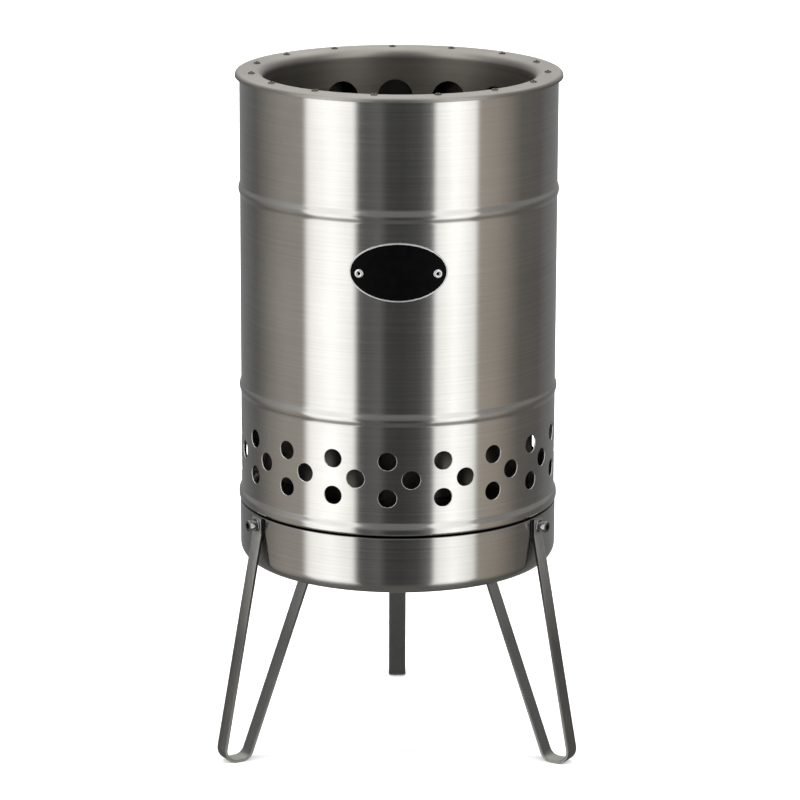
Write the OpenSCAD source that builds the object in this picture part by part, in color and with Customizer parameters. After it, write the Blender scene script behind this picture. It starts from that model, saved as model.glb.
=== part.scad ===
// Double-walled fire barrel on an ash pan with three bent flat-bar legs.
// Millimetres, +Z up, origin on the ground at the centre of the three feet.
// The name plate faces -Y.

/* [Heights] */
// Height of the ash pan's underside above the ground
pan_clear = 173.5; // [130:0.5:230]
// Height of the ash pan, from its underside to its rim
pan_h = 54; // [46:1:90]
// Height of the barrel, from the ash pan's rim to the top of its own rim
barrel_h = 390; // [340:1:520]

/* [Casing] */
// Outer radius of the casing's wall
casing_r = 142; // [140:1:170]
// Thickness of the casing's sheet
casing_t = 1.2; // [0.8:0.1:1.6]
// How far the bulge at the casing's foot stands out of the wall
bulge_out = 2.3; // [1:0.1:3.5]
// Height of the bulge at the casing's foot
bulge_h = 12.5; // [11:0.5:18]
// Height of the lower bead above the casing's foot
low_bead_h = 104.5; // [90:0.5:130]
// Height of the upper bead above the casing's foot
high_bead_h = 285; // [277:0.5:310]
// Height of one bead, from end to end
bead_h = 13.5; // [8:0.5:18]
// How far a bead stands out of the wall
bead_out = 1.5; // [0.6:0.1:3]

/* [Vents in the casing] */
// Diameter of one vent
vent_d = 16.3; // [8:0.1:18]
// Number of vents in one row
vent_count = 18; // [9:1:20]
// Height of the lowest row above the casing's foot
vent_h = 34.5; // [28:0.5:45]
// Height from one row of vents to the next
vent_step = 16.7; // [12:0.1:20]
// Turn of the lowest row from the front, in degrees
vent_turn = -3.7; // [-10:0.1:10]
// Turn of the middle row from the other two, in degrees
vent_stagger = 8.5; // [0:0.1:10]

/* [Drum] */
// Width of the jacket, from the casing's outer face to the drum's
jacket = 20; // [18:0.5:28]
// Thickness of the drum's sheet
drum_t = 1.2; // [0.8:0.1:1.5]
// Radius of the drum's rounded lip, on its inner face
lip_r = 7; // [4:0.5:7.5]
// How far the drum's flange reaches past the casing's wall
flange_over = 4; // [3:0.5:8]
// Height of the turned-down hem round the flange
hem_h = 4.4; // [4:0.1:9]
// Gap between the drum's lower end and the ring under it
drum_gap = 1.3; // [0.5:0.1:4]

/* [Air holes in the drum] */
// Diameter of one air hole
air_d = 33; // [20:1:36]
// Number of air holes
air_count = 15; // [8:1:16]
// Depth of the air holes' centres under the rim
air_depth = 45.5; // [34:0.5:60]
// Turn of the rearmost air hole, in degrees
air_turn = 1.7; // [-12:0.1:12]

/* [Fire grate] */
// Thickness of the grate
grate_t = 2; // [1.5:0.1:4]
// Diameter of one hole in the grate
grate_hole_d = 11; // [6:0.5:14]
// Distance from one ring of holes to the next
grate_pitch = 19; // [16:0.5:20]
// Number of rings of holes round the middle one
grate_rings = 5; // [3:1:5]
// Height of the wall of the ring that carries the grate
seat_h = 14; // [8:1:25]
// Width of the ledge that the grate lies on
seat_w = 9; // [6:0.5:14]
// Thickness of that ring
seat_t = 1.2; // [0.8:0.1:2]

/* [Ash pan] */
// How far the ash pan's wall stands out past the casing's wall
pan_step = 1.2; // [0.5:0.1:3]
// Thickness of the ash pan's sheet
pan_t = 1.2; // [0.8:0.1:2]
// Radius of the ash pan's lower corner, on its outer face
pan_corner = 12; // [6:0.5:18]
// Gap between the ash pan's turned-in rim and the locating ring's wall
pan_rim_gap = 4.2; // [2:0.1:6]

/* [Locating ring] */
// Height of the locating ring above the ash pan's rim
ring_h = 27; // [25:0.5:29]
// Thickness of the locating ring
ring_t = 1.2; // [0.8:0.1:2]
// Width of the ring's foot under the ash pan's rim
ring_foot_w = 15; // [10:0.5:18]
// Diameter of the air holes in the locating ring
ring_hole_d = 11; // [6:0.5:14]
// Number of air holes in the locating ring
ring_hole_count = 24; // [12:1:30]
// Height of those air holes above the ash pan's rim
ring_hole_h = 12; // [9:0.5:16]

/* [Legs] */
// Width of the flat bar
leg_w = 16; // [13:0.5:25]
// Thickness of the flat bar
leg_t = 2.5; // [2:0.1:4]
// Distance of a leg's top end below the ash pan's rim
leg_drop = 2.2; // [1:0.1:5]
// Height of the upright tab at a leg's top end
leg_tab_h = 15; // [14.5:0.5:18]
// Distance from the ash pan's wall out to the foot's outer corner
foot_out = 41; // [20:0.5:60]
// Width of the foot, between the corners of its centre line
foot_w = 26; // [24:0.5:45]
// Bend radius of the foot, on its centre line
foot_bend = 11; // [8:0.5:12]
// Distance from the ash pan's wall in to the bend under its floor
leg_reach = 50.5; // [40:0.5:75]
// Length of the tab under the ash pan's floor
base_tab = 26; // [24:0.5:34]

/* [Leg screws] */
// Diameter of the screws' thread
screw_d = 6; // [5:0.5:6.5]
// Diameter of a side screw's head
head_d = 10; // [9:0.5:11.5]
// Height of a side screw's head
head_h = 6; // [4:0.5:7]
// Width across the flats of the hexagon socket
socket_w = 5; // [3:0.5:5.5]
// Depth of the hexagon socket
socket_depth = 3; // [1.5:0.5:3.5]
// Outer diameter of a flat washer
washer_d = 12; // [11.5:0.5:13]
// Thickness of a flat washer
washer_t = 1.3; // [0.8:0.1:2]
// Outer diameter of a lock washer
lock_d = 9; // [8.5:0.5:10.5]
// Thickness of a lock washer
lock_t = 1.6; // [1:0.1:2.5]
// Width of a nut across its flats
nut_w = 10; // [9:0.5:11]
// Height of a nut
nut_h = 5; // [4:0.5:6]
// Depth of a side screw's axis below a leg's top end
screw_drop = 7.2; // [6.5:0.1:8]
// Distance of a base screw's axis from the bend under the floor
base_screw_in = 15; // [13:0.5:17]
// Height of a base screw's domed head
dome_h = 3.2; // [2:0.1:4]

/* [Rim rivets] */
// Number of rivets round the rim
rivet_count = 15; // [8:1:24]
// Distance of the rivets from the end of the lip's curve
rivet_out = 3; // [2.5:0.1:5]
// Turn of the rearmost rivet, in degrees
rivet_turn = 2.7; // [-12:0.1:12]
// Diameter of a rivet's head
rivet_head_d = 6.4; // [5:0.1:6.8]
// Height of a rivet's head
rivet_head_h = 1.3; // [0.8:0.1:2]
// Diameter of a rivet's shank
rivet_d = 3.2; // [2.8:0.1:4]

/* [Name plate] */
// Width of the oval plate
plate_w = 85.5; // [60:0.5:96]
// Height of the oval plate
plate_h = 52; // [40:0.5:60]
// Thickness of the plate
plate_t = 1; // [0.6:0.1:2]
// Height of the plate's centre above the casing's foot
plate_z = 237; // [200:1:240]
// Distance of each eyelet from the plate's centre, in degrees
eyelet_turn = 13.8; // [10:0.1:14.6]
// Height of the plate's centre above the eyelets
eyelet_drop = 1.5; // [0:0.1:3]
// Diameter of an eyelet's head
eyelet_head_d = 8; // [6:0.1:8.5]
// Diameter of an eyelet's shank
eyelet_d = 4.4; // [4:0.1:5]
// Diameter of the hole through an eyelet
eyelet_bore = 2.6; // [1:0.1:3]

/* [Fits] */
// Gap between pieces that are fastened face to face
seat_gap = 0.05; // [0.02:0.01:0.1]
// Gap between the casing's foot and the locating ring
locate_gap = 0.6; // [0.4:0.1:1.5]
// Gap between the grate's edge and the ring that carries it
grate_gap = 1.5; // [0.5:0.1:3]
// Gap round a screw or a rivet in its hole
hole_gap = 0.3; // [0.1:0.05:0.4]

/* [Hidden] */
$fn = 96;
leg_angles = [-60, 60, 180];

rim_z = pan_clear + pan_h + barrel_h;
pan_top = pan_clear + pan_h;
pan_r = casing_r + pan_step;
pan_in = pan_r - pan_t;
drum_r = casing_r - jacket;
drum_in = drum_r - drum_t;

// Corner radii of the bent sheets, on their centre lines
sheet_bend = 2.4;
hem_bend = 2.6;
bar_bend = 7;
// Height of the upright band of the foot's bulge above its lower corner
bulge_band = 2.6;
// Number of steps in a bent corner, a bead and an oval
corner_steps = 6;
bead_steps = 12;
oval_steps = 72;
// How far a cutting tool runs past what it cuts
past = 1;

// Heights of the barrel's parts above the ground
drum_z = pan_top + ring_h + drum_gap;
flange_z = rim_z - drum_t;
seat_top = drum_z + seat_t;
vent_z = pan_top + vent_h;
air_z = rim_z - air_depth;
plate_mid = pan_top + plate_z;
grate_r = drum_in - seat_gap - seat_t - grate_gap;

// Places of the legs' bends in the plane of a leg
leg_r = pan_r + seat_gap + leg_t / 2;
leg_top = pan_top - leg_drop;
tab_z = leg_top - leg_tab_h;
screw_z = leg_top - screw_drop;
foot_r = pan_r + foot_out;
base_bend_r = pan_r - leg_reach;
base_z = pan_clear - leg_t / 2;
base_screw_r = base_bend_r - base_screw_in;

// Stack of the side fasteners, outward from the leg's outer face
washer_r0 = pan_r + seat_gap + leg_t;
lock_r0 = washer_r0 + washer_t;
head_r0 = lock_r0 + lock_t;
nut_corner = nut_w / sqrt(3);
nut_face = sqrt(pan_in * pan_in - nut_corner * nut_corner) - seat_gap;
thread_past = 1.5;

hole_r = screw_d / 2 + hole_gap;
rivet_hole_r = rivet_d / 2 + hole_gap / 2;
eyelet_hole_r = eyelet_d / 2 + hole_gap / 2;

// Points of an arc round a centre, both ends included
function arc(centre, r, from, to, steps) =
    [for (i = [0:steps]) let (a = from + (to - from) * i / steps) centre + r * [cos(a), sin(a)]];

function unit(v) = v / norm(v);
function cross2(a, b) = a[0] * b[1] - a[1] * b[0];
function left_of(v) = [-v[1], v[0]];

// One corner of a bent sheet: an arc that touches both straight runs
function bend(a, b, c, r, steps = corner_steps) =
    let (
        u = unit(a - b),
        v = unit(c - b),
        half = acos(u * v) / 2,
        centre = b + unit(u + v) * (r / sin(half)),
        side = cross2(b - a, c - b) > 0 ? 1 : -1,
        start = b + u * (r / tan(half)) - centre,
        first = atan2(start[1], start[0]),
        sweep = side * (180 - 2 * half)
    )
    arc(centre, r, first, first + sweep, steps);

// A run of points with each inner corner rounded by its own radius
function bent_line(points, radii) =
    let (last = len(points) - 1)
    concat(
        [points[0]],
        [for (i = [1:last - 1]) each bend(points[i - 1], points[i], points[i + 1], radii[i - 1])],
        [points[last]]
    );

// Sideways step at one point of a line, mitred where the line turns
function side_step(p, i, d) =
    let (
        last = len(p) - 1,
        u = unit(i == 0 ? p[1] - p[0] : p[i] - p[i - 1]),
        v = unit(i == last ? p[i] - p[i - 1] : p[i + 1] - p[i]),
        m = unit(left_of(u) + left_of(v))
    )
    m * (d / (m * left_of(u)));

// Outline of a sheet of even thickness that follows a line
function sheet(p, t) =
    concat(
        [for (i = [0:len(p) - 1]) p[i] + side_step(p, i, t / 2)],
        [for (i = [len(p) - 1:-1:0]) p[i] - side_step(p, i, t / 2)]
    );

// Points of one rolled bead, a smooth swell of the wall
function bead(r, z) =
    [for (i = [0:bead_steps]) [
        r + bead_out * (1 - cos(360 * i / bead_steps)) / 2,
        z - bead_h / 2 + bead_h * i / bead_steps
    ]];

// Points of the S-shaped step from the foot's bulge back to the wall
function bulge_step(r) =
    [for (i = [0:bead_steps]) let (z0 = sheet_bend + bulge_band) [
        r + bulge_out * (1 + cos(180 * i / bead_steps)) / 2,
        pan_top + casing_t / 2 + z0 + (bulge_h - z0 - casing_t / 2) * i / bead_steps
    ]];

drum_mid_r = drum_r - drum_t / 2;
drum_mid_z = rim_z - drum_t / 2;
lip_mid = lip_r + drum_t / 2;
// Where the lip's curve ends and the flat of the rim begins
flat_r = drum_mid_r + lip_mid;
rivet_r = flat_r + rivet_out;
hem_r = casing_r + flange_over - drum_t / 2;
hem_line = [
    [hem_r, rim_z - hem_h],
    [hem_r, drum_mid_z],
    [flat_r, drum_mid_z]
];
drum_line = concat(
    [hem_line[0]],
    bend(hem_line[0], hem_line[1], hem_line[2], hem_bend),
    arc([flat_r, drum_mid_z - lip_mid], lip_mid, 90, 180, 2 * corner_steps),
    [[drum_mid_r, drum_z]]
);

casing_mid_r = casing_r - casing_t / 2;
casing_line = concat(
    [[drum_r + locate_gap, pan_top + casing_t / 2]],
    arc([casing_mid_r + bulge_out - sheet_bend, pan_top + casing_t / 2 + sheet_bend],
        sheet_bend, -90, 0, corner_steps),
    bulge_step(casing_mid_r),
    bead(casing_mid_r, pan_top + low_bead_h),
    bead(casing_mid_r, pan_top + high_bead_h),
    arc([casing_mid_r - sheet_bend, flange_z - casing_t / 2 - sheet_bend],
        sheet_bend, 0, 90, corner_steps),
    [[flat_r, flange_z - casing_t / 2]]
);

seat_mid_r = drum_in - seat_gap - seat_t / 2;
seat_line = bent_line([
    [seat_mid_r, drum_z + seat_h],
    [seat_mid_r, drum_z + seat_t / 2],
    [drum_in - seat_w, drum_z + seat_t / 2]
], [1]);

pan_mid_r = pan_r - pan_t / 2;
pan_line = bent_line([
    [drum_r + pan_rim_gap, pan_top - pan_t / 2],
    [pan_mid_r, pan_top - pan_t / 2],
    [pan_mid_r, pan_clear + pan_t / 2],
    [0, pan_clear + pan_t / 2]
], [sheet_bend, pan_corner - pan_t / 2]);

ring_mid_r = drum_r - ring_t / 2;
ring_foot_z = pan_top - pan_t - ring_t / 2;
ring_line = bent_line([
    [drum_r + ring_foot_w, ring_foot_z],
    [ring_mid_r, ring_foot_z],
    [ring_mid_r, pan_top + ring_h]
], [1.2]);

leg_line = bent_line([
    [leg_r, leg_top],
    [leg_r, tab_z],
    [foot_r, leg_t / 2],
    [foot_r - foot_w, leg_t / 2],
    [base_bend_r, base_z],
    [base_bend_r - base_tab, base_z]
], [bar_bend, foot_bend, foot_bend, bar_bend]);

// A tool or a fastener on a radial axis: 0 degrees is the front, -Y
module radial(turn, z, r = 0) {
    rotate([0, 0, turn]) translate([0, -r, z]) rotate([90, 0, 0]) children();
}

// Round holes through a wall, evenly spaced round the barrel
module hole_row(count, turn, z, d, r_in, r_out) {
    for (i = [0:count - 1])
        radial(turn + 360 * i / count, z, r_in) cylinder(h = r_out - r_in, d = d);
}

// The same piece under each rim rivet's place
module at_rivets() {
    for (i = [0:rivet_count - 1])
        rotate([0, 0, rivet_turn + 360 * i / rivet_count]) translate([0, rivet_r, rim_z]) children();
}

// The same piece at each leg's side screw, its Z axis pointing outward
module at_side_screws(r) {
    for (a = leg_angles) radial(a, screw_z, r) children();
}

// The same piece at each leg's base screw
module at_base_screws(z) {
    for (a = leg_angles) rotate([0, 0, a]) translate([0, -base_screw_r, z]) children();
}

// The same piece at each eyelet of the name plate
module at_eyelets(r) {
    for (a = [-eyelet_turn, eyelet_turn]) radial(a, plate_mid - eyelet_drop, r) children();
}

module washer(d, t) {
    difference() {
        cylinder(h = t, d = d);
        translate([0, 0, -past]) cylinder(h = t + 2 * past, r = hole_r);
    }
}

module nut() {
    difference() {
        cylinder(h = nut_h, r = nut_corner, $fn = 6);
        translate([0, 0, -past]) cylinder(h = nut_h + 2 * past, r = screw_d / 2 + seat_gap);
    }
}

module leg(angle) {
    color("silver")
    difference() {
        rotate([0, 0, angle - 90]) rotate([90, 0, 0])
            linear_extrude(height = leg_w, center = true) polygon(sheet(leg_line, leg_t));
        radial(angle, screw_z, leg_r - leg_t) cylinder(h = 2 * leg_t, r = hole_r);
        rotate([0, 0, angle]) translate([0, -base_screw_r, base_z - leg_t])
            cylinder(h = 2 * leg_t, r = hole_r);
    }
}

module ash_pan() {
    color("silver")
    difference() {
        rotate_extrude() polygon(sheet(pan_line, pan_t));
        at_side_screws(pan_in - past) cylinder(h = pan_t + 2 * past, r = hole_r);
        at_base_screws(pan_clear - past) cylinder(h = pan_t + 2 * past, r = hole_r);
    }
}

module locating_ring() {
    color("gray")
    difference() {
        rotate_extrude() polygon(sheet(ring_line, ring_t));
        hole_row(ring_hole_count, 0, pan_top + ring_hole_h, ring_hole_d,
            drum_r - ring_t - past, drum_r + past);
    }
}

module leg_front_left() {
    leg(leg_angles[0]);
}

module leg_front_right() {
    leg(leg_angles[1]);
}

module leg_rear() {
    leg(leg_angles[2]);
}

// Cap screws with a hexagon socket, from outside through leg and pan
module leg_side_screws() {
    shank = head_r0 - nut_face + nut_h + thread_past;
    color("silver")
    at_side_screws(head_r0) difference() {
        union() {
            cylinder(h = head_h, d = head_d);
            translate([0, 0, -shank]) cylinder(h = shank, d = screw_d);
        }
        translate([0, 0, head_h - socket_depth])
            cylinder(h = socket_depth + past, r = socket_w / sqrt(3), $fn = 6);
    }
}

module leg_side_lock_washers() {
    color("silver") at_side_screws(lock_r0) washer(lock_d, lock_t);
}

module leg_side_washers() {
    color("silver") at_side_screws(washer_r0) washer(washer_d, washer_t);
}

module leg_side_nuts() {
    color("silver") at_side_screws(nut_face - nut_h) nut();
}

// Screws with a low domed head inside the pan and their nuts below
module leg_base_screws() {
    shank = pan_t + leg_t + washer_t + nut_h + thread_past;
    dome_r = (head_d * head_d / 4 + dome_h * dome_h) / (2 * dome_h);
    color("silver")
    at_base_screws(pan_clear + pan_t) union() {
        intersection() {
            translate([0, 0, dome_h - dome_r]) sphere(r = dome_r);
            cylinder(h = dome_h + past, d = head_d + past);
        }
        translate([0, 0, -shank]) cylinder(h = shank + past, d = screw_d);
    }
}

module leg_base_washers() {
    color("silver") at_base_screws(pan_clear - leg_t - washer_t) washer(washer_d, washer_t);
}

module leg_base_nuts() {
    color("silver") at_base_screws(pan_clear - leg_t - washer_t - nut_h) nut();
}

module outer_casing() {
    color("lightgray")
    difference() {
        rotate_extrude() polygon(sheet(casing_line, casing_t));
        for (row = [0:2])
            hole_row(vent_count, vent_turn + (row == 1 ? vent_stagger : 0), vent_z + row * vent_step,
                vent_d, casing_r - casing_t - past, casing_r + past);
        at_rivets() translate([0, 0, -drum_t - casing_t - past])
            cylinder(h = casing_t + 2 * past, r = rivet_hole_r);
        at_eyelets(casing_r - casing_t - past) cylinder(h = casing_t + 2 * past, r = eyelet_hole_r);
    }
}

module inner_drum() {
    color("gray")
    difference() {
        rotate_extrude() polygon(sheet(drum_line, drum_t));
        hole_row(air_count, 180 + air_turn, air_z, air_d, drum_in - past, drum_r + past);
        at_rivets() translate([0, 0, -drum_t - past])
            cylinder(h = drum_t + 2 * past, r = rivet_hole_r);
    }
}

module grate_support_ring() {
    color("dimgray") rotate_extrude() polygon(sheet(seat_line, seat_t));
}

// Hollow blind rivets: domed head above the flange, set end below the casing's
module rim_rivets() {
    grip = drum_t + casing_t;
    bore_r = rivet_d / 4;
    head_r = rivet_head_d / 2;
    set_r = rivet_d * 0.8;
    set_h = rivet_d * 0.7;
    color("dimgray")
    at_rivets() rotate_extrude() polygon([
        [bore_r, -grip - set_h],
        [set_r, -grip - set_h],
        [set_r, -grip],
        [rivet_d / 2, -grip],
        [rivet_d / 2, 0],
        [head_r, 0],
        [head_r, rivet_head_h * 0.3],
        [head_r * 0.8, rivet_head_h * 0.7],
        [head_r * 0.5, rivet_head_h],
        [bore_r, rivet_head_h]
    ]);
}

// Broken-off pulling pins that stay inside the blind rivets
module rim_rivet_pins() {
    pin_r = rivet_d / 4 - seat_gap;
    depth = drum_t + casing_t + rivet_d * 0.7;
    color("black")
    at_rivets() translate([0, 0, -depth]) cylinder(h = depth + rivet_head_h + 0.5, r = pin_r);
}

module name_plate() {
    color("black")
    difference() {
        intersection() {
            translate([0, 0, plate_mid]) rotate([90, 0, 0]) linear_extrude(height = casing_r + 10)
                polygon([for (i = [0:oval_steps - 1]) let (a = 360 * i / oval_steps)
                    [plate_w / 2 * cos(a), plate_h / 2 * sin(a)]]);
            translate([0, 0, plate_mid - plate_h]) difference() {
                cylinder(h = 2 * plate_h, r = casing_r + seat_gap + plate_t);
                translate([0, 0, -past]) cylinder(h = 2 * plate_h + 2 * past, r = casing_r + seat_gap);
            }
        }
        at_eyelets(casing_r - past) cylinder(h = plate_t + 3 * past, r = eyelet_hole_r);
    }
}

// Hollow eyelets through the name plate and the casing's wall
module name_plate_eyelets() {
    front = casing_r + 2 * seat_gap + plate_t;
    head_r = eyelet_head_d / 2;
    set_r = eyelet_d * 0.75;
    casing_in = casing_r - casing_t;
    grip = front - sqrt(casing_in * casing_in - set_r * set_r) + seat_gap;
    rolled = eyelet_head_d * 0.11;
    color("silver")
    at_eyelets(front) rotate_extrude() polygon([
        [eyelet_bore / 2, -grip - rolled],
        [set_r, -grip - rolled],
        [set_r, -grip],
        [eyelet_d / 2, -grip],
        [eyelet_d / 2, 0],
        [head_r, 0],
        [head_r, rolled * 0.4],
        [head_r * 0.85, rolled * 0.8],
        [head_r * 0.65, rolled],
        [eyelet_bore / 2 + 0.3, rolled * 0.8],
        [eyelet_bore / 2, rolled * 0.4]
    ]);
}

module fire_grate() {
    color("dimgray")
    translate([0, 0, seat_top + seat_gap]) difference() {
        cylinder(h = grate_t, r = grate_r);
        for (ring = [0:grate_rings], i = [0:max(6 * ring, 1) - 1])
            rotate([0, 0, 360 * i / max(6 * ring, 1)]) translate([ring * grate_pitch, 0, -past])
                cylinder(h = grate_t + 2 * past, d = grate_hole_d, $fn = 48);
    }
}

ash_pan();
locating_ring();
leg_front_left();
leg_front_right();
leg_rear();
leg_side_screws();
leg_side_lock_washers();
leg_side_washers();
leg_side_nuts();
leg_base_screws();
leg_base_washers();
leg_base_nuts();
outer_casing();
inner_drum();
grate_support_ring();
rim_rivets();
rim_rivet_pins();
name_plate();
name_plate_eyelets();
fire_grate();
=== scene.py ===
"""Looks of a double-walled fire barrel on an ash pan with three flat-bar legs.

Sizes are the part's own, in millimetres, and MM turns them into Blender's metres.
The name plate faces -Y, and a turn of 0 degrees is that front.
"""

import math

import bpy
from mathutils import Matrix, Vector


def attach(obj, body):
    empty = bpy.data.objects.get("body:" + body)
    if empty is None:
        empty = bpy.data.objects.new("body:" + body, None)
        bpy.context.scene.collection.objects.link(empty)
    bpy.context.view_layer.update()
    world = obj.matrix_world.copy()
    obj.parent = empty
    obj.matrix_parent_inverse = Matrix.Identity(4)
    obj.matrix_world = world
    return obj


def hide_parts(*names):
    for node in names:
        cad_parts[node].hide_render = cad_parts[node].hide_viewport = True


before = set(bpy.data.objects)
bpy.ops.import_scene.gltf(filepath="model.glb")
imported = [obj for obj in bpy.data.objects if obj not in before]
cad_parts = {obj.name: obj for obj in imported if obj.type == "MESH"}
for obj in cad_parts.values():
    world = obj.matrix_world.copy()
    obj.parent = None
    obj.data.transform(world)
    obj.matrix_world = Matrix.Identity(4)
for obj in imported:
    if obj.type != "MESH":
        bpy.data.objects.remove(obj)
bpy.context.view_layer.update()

MM = 0.001
SHEET = 1.2
LEG_TURNS = (-60, 60, 180)

# Heights and radii of the barrel
PAN_Z, PAN_TOP, RIM_Z = 173.5, 227.5, 617.5
CASING_R, DRUM_R, PAN_R = 142, 122, 143.2
LIP_R, FLANGE_R, HEM_DROP = 7, 146, 4.4
DRUM_Z = 255.8
RING_TOP = 254.5

# The legs' bar, with its rounded long edges
LEG_W, LEG_T, LEG_EDGE = 16, 2.5, 0.5

# Where two walls meet face to face
SEAT_GAP = 0.05

# Steps of a full turn in sheets, in holes and in small turned pieces
WALL_STEPS, HOLE_STEPS, SMALL_STEPS = 240, 40, 32


def deselect():
    """Leaves edit mode and deselects everything."""
    if bpy.context.object and bpy.context.object.mode != "OBJECT":
        bpy.ops.object.mode_set(mode="OBJECT")
    bpy.ops.object.select_all(action="DESELECT")


def pick(obj):
    deselect()
    obj.select_set(True)
    bpy.context.view_layer.objects.active = obj


def apply_modifier(obj, kind, **settings):
    pick(obj)
    modifier = obj.modifiers.new(kind.title(), kind)
    for name, value in settings.items():
        setattr(modifier, name, value)
    bpy.ops.object.modifier_apply(modifier=modifier.name)


def settle(obj):
    """Puts the place, turn and size of an object into its mesh."""
    pick(obj)
    bpy.ops.object.transform_apply(location=True, rotation=True, scale=True)
    return obj


def draw(points):
    """Extrudes one vertex from point to point, and returns the chain of edges."""
    deselect()
    bpy.ops.mesh.primitive_plane_add(size=MM, location=Vector(points[0]) * MM, enter_editmode=True)
    bpy.ops.mesh.merge(type="CENTER")
    for here, there in zip(points, points[1:]):
        step = (Vector(there) - Vector(here)) * MM
        bpy.ops.mesh.extrude_region_move(TRANSFORM_OT_translate={"value": step})
    return bpy.context.object


def spin_drawn(points, centre, axis, steps):
    """Draws a line and spins it round an axis, with the seam and the poles closed."""
    obj = draw(points)
    bpy.ops.mesh.select_all(action="SELECT")
    bpy.ops.mesh.spin(steps=steps, angle=math.tau, center=Vector(centre) * MM, axis=axis)
    bpy.ops.mesh.select_all(action="SELECT")
    bpy.ops.mesh.remove_doubles(threshold=0.002 * MM)
    bpy.ops.mesh.normals_make_consistent(inside=False)
    return settle(obj)


def turned(line, steps=WALL_STEPS):
    """A surface turned round the barrel's axis from a line of (radius, height)."""
    return spin_drawn([(r, 0, z) for r, z in line], (0, 0, 0), (0, 0, 1), steps)


def turned_sheet(line, edge=0.2, steps=WALL_STEPS):
    """A sheet turned from its centre line, with its cut edges slightly rounded."""
    obj = turned(line, steps)
    apply_modifier(obj, "SOLIDIFY", thickness=SHEET * MM, offset=0, use_even_offset=True)
    apply_modifier(obj, "BEVEL", width=edge * MM, segments=2, limit_method="ANGLE",
                   angle_limit=math.radians(60))
    return obj


def turned_knob(line, height, steps=SMALL_STEPS):
    """A small solid turned from a line of (radius, distance out) on an axis that points to -Y."""
    return spin_drawn([(r, -out, height) for r, out in line], (0, 0, height), (0, 1, 0), steps)


def upright_knob(line, x, y, steps=SMALL_STEPS):
    """A small solid turned from a line of (radius, height) on an upright axis at (x, y)."""
    return spin_drawn([(x + r, y, z) for r, z in line], (x, y, 0), (0, 0, 1), steps)


def arc(centre, radius, start, end, steps):
    """Points of an arc from one angle to another, in degrees."""
    turns = (math.radians(start + (end - start) * i / steps) for i in range(steps + 1))
    return [(centre[0] + radius * math.cos(t), centre[1] + radius * math.sin(t)) for t in turns]


def rounded(points, radii, steps=8):
    """A bent line: each inner corner gets an arc of its own radius."""
    line = [points[0]]
    for before, corner, after, radius in zip(points, points[1:], points[2:], radii):
        before, corner, after = Vector(before), Vector(corner), Vector(after)
        u, v = (before - corner).normalized(), (after - corner).normalized()
        half = u.angle(v) / 2
        centre = corner + (u + v).normalized() * (radius / math.sin(half))
        first = corner + u * (radius / math.tan(half)) - centre
        side = 1 if (corner - before).to_3d().cross((after - corner).to_3d()).z > 0 else -1
        start = math.degrees(math.atan2(first.y, first.x))
        line += arc(centre, radius, start, start + side * math.degrees(math.pi - 2 * half), steps)
    return line + [points[-1]]


def around(obj, turns):
    """Copies a piece to each turn round the barrel, each copy with its own mesh, and joins them."""
    copies = []
    for turn in turns:
        copy = obj.copy()
        copy.data = obj.data.copy()
        copy.data.transform(Matrix.Rotation(math.radians(turn), 4, "Z"))
        bpy.context.scene.collection.objects.link(copy)
        copies.append(copy)
    bpy.data.objects.remove(obj)
    deselect()
    for copy in copies:
        copy.select_set(True)
    bpy.context.view_layer.objects.active = copies[0]
    bpy.ops.object.join()
    return copies[0]


def evenly(count, first=0):
    return [first + 360 * i / count for i in range(count)]


def roll(obj, radius):
    """Rolls a piece made flat in front of the barrel round a wall of that radius."""
    for vertex in obj.data.vertices:
        turn, out = vertex.co.x / (radius * MM), -vertex.co.y
        vertex.co.x, vertex.co.y = out * math.sin(turn), -out * math.cos(turn)
    return obj


def cut(obj, cutter, operation="DIFFERENCE"):
    apply_modifier(obj, "BOOLEAN", object=cutter, operation=operation, solver="MANIFOLD")
    bpy.data.objects.remove(cutter)


def soft_bore(hole_r, near, far, edge):
    """The line of a cutter from near to far, flared by edge at both mouths of the hole."""
    return [
        (0, near - 2),
        (hole_r + edge, near - 2),
        (hole_r + 1.2 * edge, near - 0.06 * edge),
        (hole_r + 0.5 * edge, near + 0.134 * edge),
        (hole_r, near + edge),
        (hole_r, far - edge),
        (hole_r + 0.134 * edge, far - 0.5 * edge),
        (hole_r + 0.5 * edge, far - 0.134 * edge),
        (hole_r + 1.2 * edge, far + 0.06 * edge),
        (hole_r + edge, far + 2),
        (0, far + 2),
    ]


def hole_cutter(hole_r, wall_r, height, edge, thick=SHEET, steps=HOLE_STEPS):
    """A cutter for a round hole in a rolled wall, whose mouths are rounded by edge."""
    return roll(turned_knob(soft_bore(hole_r, wall_r - thick, wall_r, edge), height, steps), wall_r)


def firm_normals(obj):
    """Gives upright walls and level faces their true normals, which holes and rounded edges tilt."""
    mesh = obj.data
    firm = {}
    for face in mesh.polygons:
        out = Vector((face.center.x, face.center.y, 0)).normalized()
        upright, level = face.normal.dot(out), face.normal.z
        if max(abs(level), abs(upright)) < 0.9995:
            continue
        for index in face.vertices:
            place = mesh.vertices[index].co
            if abs(level) > abs(upright):
                direction = Vector((0, 0, math.copysign(1, level)))
            else:
                direction = Vector((place.x, place.y, 0)).normalized() * math.copysign(1, upright)
            firm.setdefault(index, []).append(direction)
    normals = [corner.vector.copy() for corner in mesh.corner_normals]
    for face in mesh.polygons:
        for corner in face.loop_indices:
            for direction in firm.get(mesh.loops[corner].vertex_index, ()):
                if face.normal.dot(direction) > math.cos(math.radians(35)):
                    normals[corner] = direction
    mesh.normals_split_custom_set(normals)


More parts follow.
